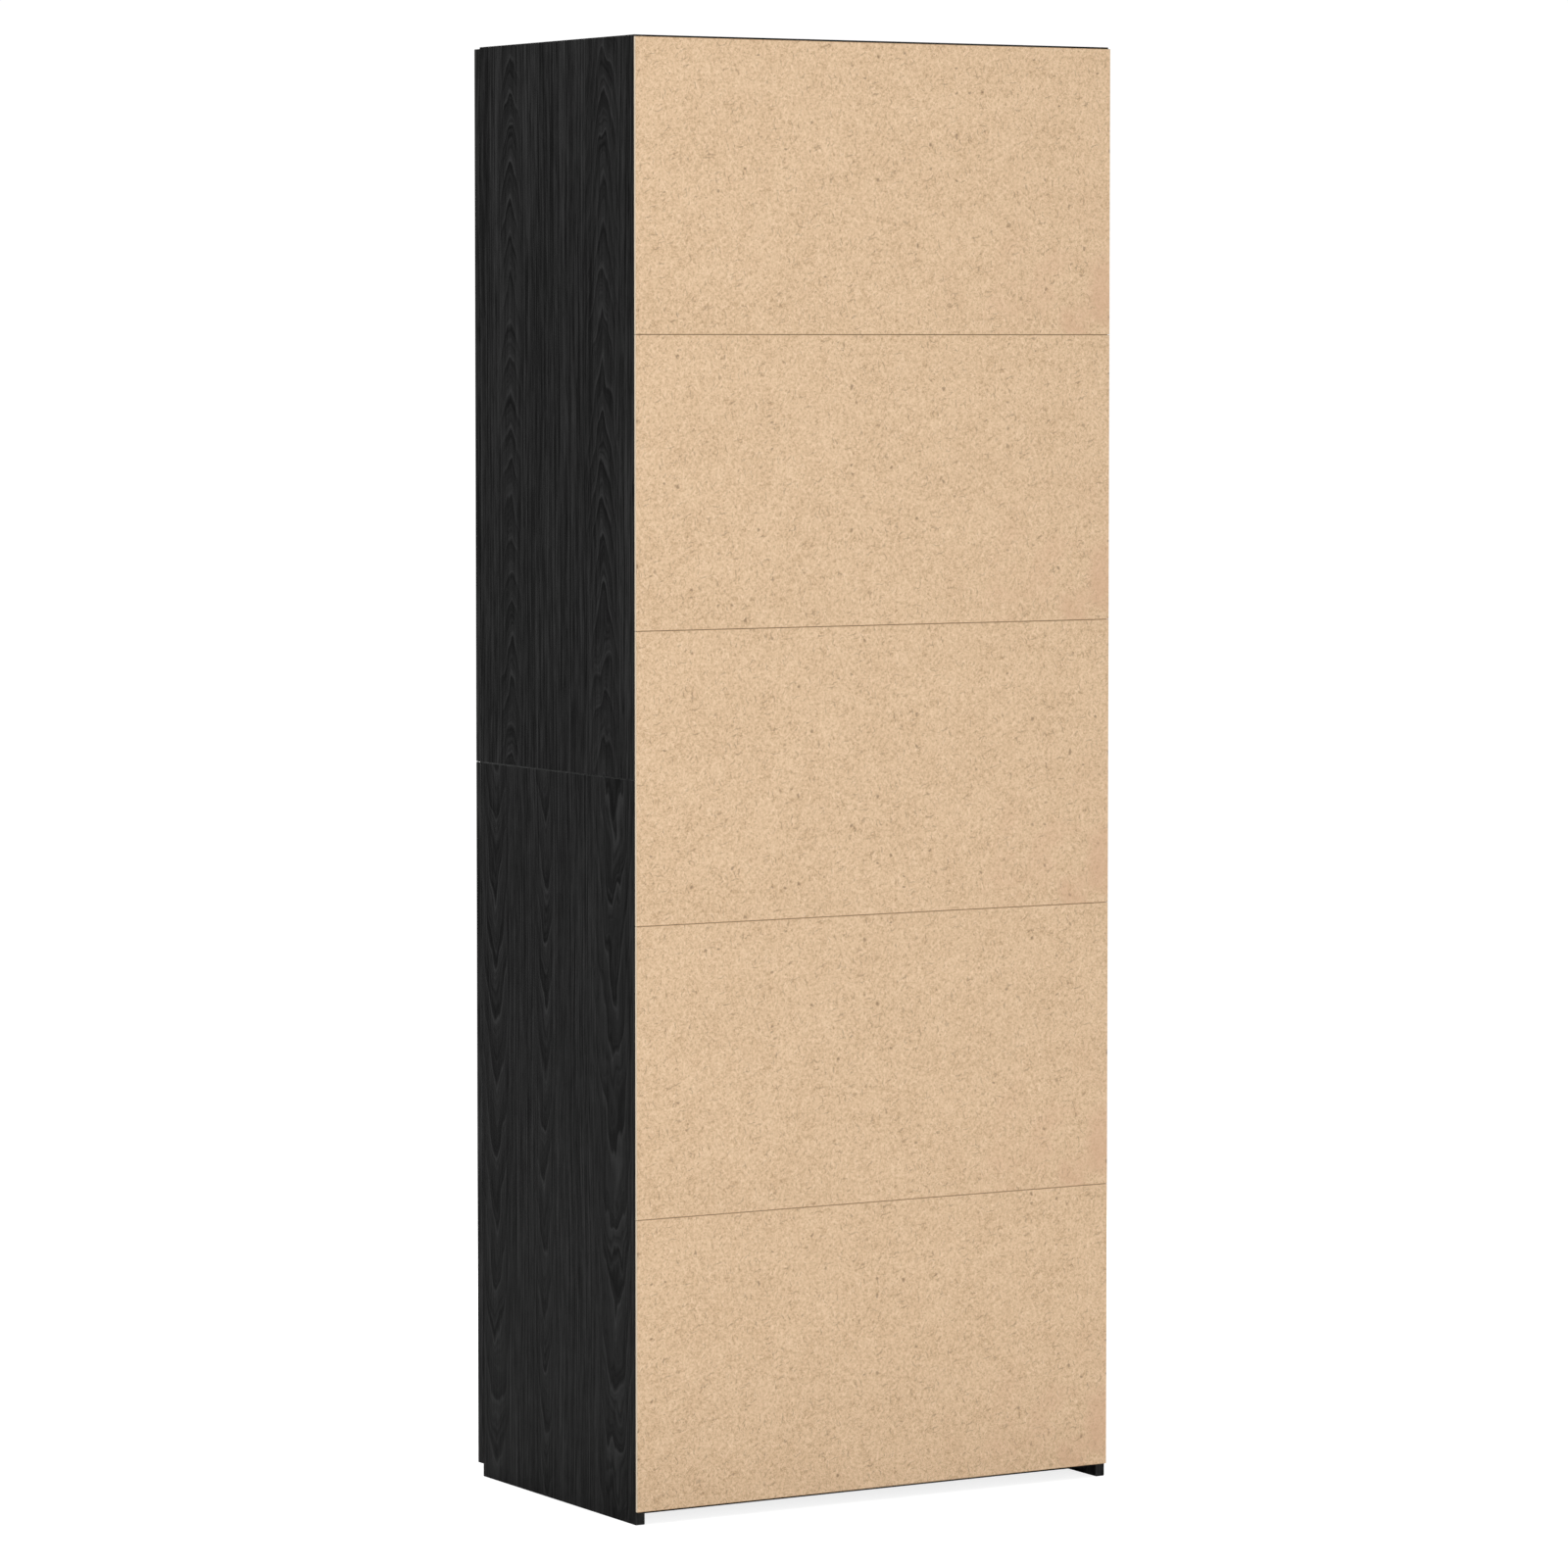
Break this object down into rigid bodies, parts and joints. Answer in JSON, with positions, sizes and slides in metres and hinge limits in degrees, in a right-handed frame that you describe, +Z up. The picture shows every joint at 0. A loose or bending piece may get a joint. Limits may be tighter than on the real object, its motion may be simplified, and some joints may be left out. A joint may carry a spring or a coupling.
{
  "type": "wardrobe with doors",
  "caption": "Tall narrow flat-pack wardrobe with hinged upper and lower doors, fixed shelves inside, split side panels that stand on the floor and a raw fibreboard back.",
  "frame": {"origin": "on the floor, at the middle of the whole footprint, handles included", "axes": "+Z up, doors face -Y, back faces +Y, +X towards the right side panel as seen from the front"},
  "size_m": [0.698, 0.453, 1.85],
  "materials": {
    "black_laminate": "satin black oak-grain laminate on engineered wood",
    "raw_fibreboard": "matt raw tan fibreboard, with a black laminated inner face",
    "hinge_steel": "nickel-plated pressed steel",
    "handle_metal": "matt black powder coat",
    "dowel_wood": "plain beech"
  },
  "bodies": {
    "root": {"side_panel_right_lower": "black_laminate", "side_panel_right_upper": "black_laminate", "side_panel_left_lower": "black_laminate", "side_panel_left_upper": "black_laminate", "bottom_panel": "black_laminate", "top_panel": "black_laminate", "shelf_1": "black_laminate", "shelf_2": "black_laminate", "shelf_3": "black_laminate", "shelf_4": "black_laminate", "back_panel_1": "raw_fibreboard", "back_panel_2": "raw_fibreboard", "back_panel_3": "raw_fibreboard", "back_panel_4": "raw_fibreboard", "back_panel_5": "raw_fibreboard", "seam_dowel_right_front": "dowel_wood", "seam_dowel_right_rear": "dowel_wood", "seam_dowel_left_front": "dowel_wood", "seam_dowel_left_rear": "dowel_wood", "hinge_plate_right_lower_low": "hinge_steel", "hinge_arm_right_lower_low": "hinge_steel", "hinge_plate_right_lower_high": "hinge_steel", "hinge_arm_right_lower_high": "hinge_steel", "hinge_plate_right_upper_low": "hinge_steel", "hinge_arm_right_upper_low": "hinge_steel", "hinge_plate_right_upper_high": "hinge_steel", "hinge_arm_right_upper_high": "hinge_steel", "hinge_plate_left_lower_low": "hinge_steel", "hinge_arm_left_lower_low": "hinge_steel", "hinge_plate_left_lower_high": "hinge_steel", "hinge_arm_left_lower_high": "hinge_steel", "hinge_plate_left_upper_low": "hinge_steel", "hinge_arm_left_upper_low": "hinge_steel", "hinge_plate_left_upper_high": "hinge_steel", "hinge_arm_left_upper_high": "hinge_steel"},
    "right_lower_links": {"hinge_link_right_lower_low": "hinge_steel", "hinge_link_right_lower_high": "hinge_steel"},
    "right_lower_door": {"hinge_cup_right_lower_low": "hinge_steel", "hinge_cup_right_lower_high": "hinge_steel", "door_right_lower": "black_laminate", "handle_right_lower": "handle_metal"},
    "right_upper_links": {"hinge_link_right_upper_low": "hinge_steel", "hinge_link_right_upper_high": "hinge_steel"},
    "right_upper_door": {"hinge_cup_right_upper_low": "hinge_steel", "hinge_cup_right_upper_high": "hinge_steel", "door_right_upper": "black_laminate", "handle_right_upper": "handle_metal"},
    "left_lower_links": {"hinge_link_left_lower_low": "hinge_steel", "hinge_link_left_lower_high": "hinge_steel"},
    "left_lower_door": {"hinge_cup_left_lower_low": "hinge_steel", "hinge_cup_left_lower_high": "hinge_steel", "door_left_lower": "black_laminate", "handle_left_lower": "handle_metal"},
    "left_upper_links": {"hinge_link_left_upper_low": "hinge_steel", "hinge_link_left_upper_high": "hinge_steel"},
    "left_upper_door": {"hinge_cup_left_upper_low": "hinge_steel", "hinge_cup_left_upper_high": "hinge_steel", "door_left_upper": "black_laminate", "handle_left_upper": "handle_metal"}
  },
  "joints": [
    {"name": "right_lower_link_turn", "type": "hinge", "parent": "root", "child": "right_lower_links", "pos_m": [0.325, -0.187, 0], "axis": [0, 0, 1], "range_deg": [-37, 0]},
    {"name": "right_lower_door_swing", "type": "hinge", "parent": "right_lower_links", "child": "right_lower_door", "pos_m": [0.3402, -0.1876, 0], "axis": [0, 0, 1], "range_deg": [0, 132]},
    {"name": "right_upper_link_turn", "type": "hinge", "parent": "root", "child": "right_upper_links", "pos_m": [0.325, -0.187, 0], "axis": [0, 0, 1], "range_deg": [-37, 0]},
    {"name": "right_upper_door_swing", "type": "hinge", "parent": "right_upper_links", "child": "right_upper_door", "pos_m": [0.3402, -0.1876, 0], "axis": [0, 0, 1], "range_deg": [0, 132]},
    {"name": "left_lower_link_turn", "type": "hinge", "parent": "root", "child": "left_lower_links", "pos_m": [-0.325, -0.187, 0], "axis": [0, 0, -1], "range_deg": [-37, 0]},
    {"name": "left_lower_door_swing", "type": "hinge", "parent": "left_lower_links", "child": "left_lower_door", "pos_m": [-0.3402, -0.1876, 0], "axis": [0, 0, -1], "range_deg": [0, 132]},
    {"name": "left_upper_link_turn", "type": "hinge", "parent": "root", "child": "left_upper_links", "pos_m": [-0.325, -0.187, 0], "axis": [0, 0, -1], "range_deg": [-37, 0]},
    {"name": "left_upper_door_swing", "type": "hinge", "parent": "left_upper_links", "child": "left_upper_door", "pos_m": [-0.3402, -0.1876, 0], "axis": [0, 0, -1], "range_deg": [0, 132]}
  ],
  "couplings": [
    {"joint": "right_lower_link_turn", "follows": "right_lower_door_swing", "ratio": -0.28},
    {"joint": "right_upper_link_turn", "follows": "right_upper_door_swing", "ratio": -0.28},
    {"joint": "left_lower_link_turn", "follows": "left_lower_door_swing", "ratio": -0.28},
    {"joint": "left_upper_link_turn", "follows": "left_upper_door_swing", "ratio": -0.28}
  ]
}
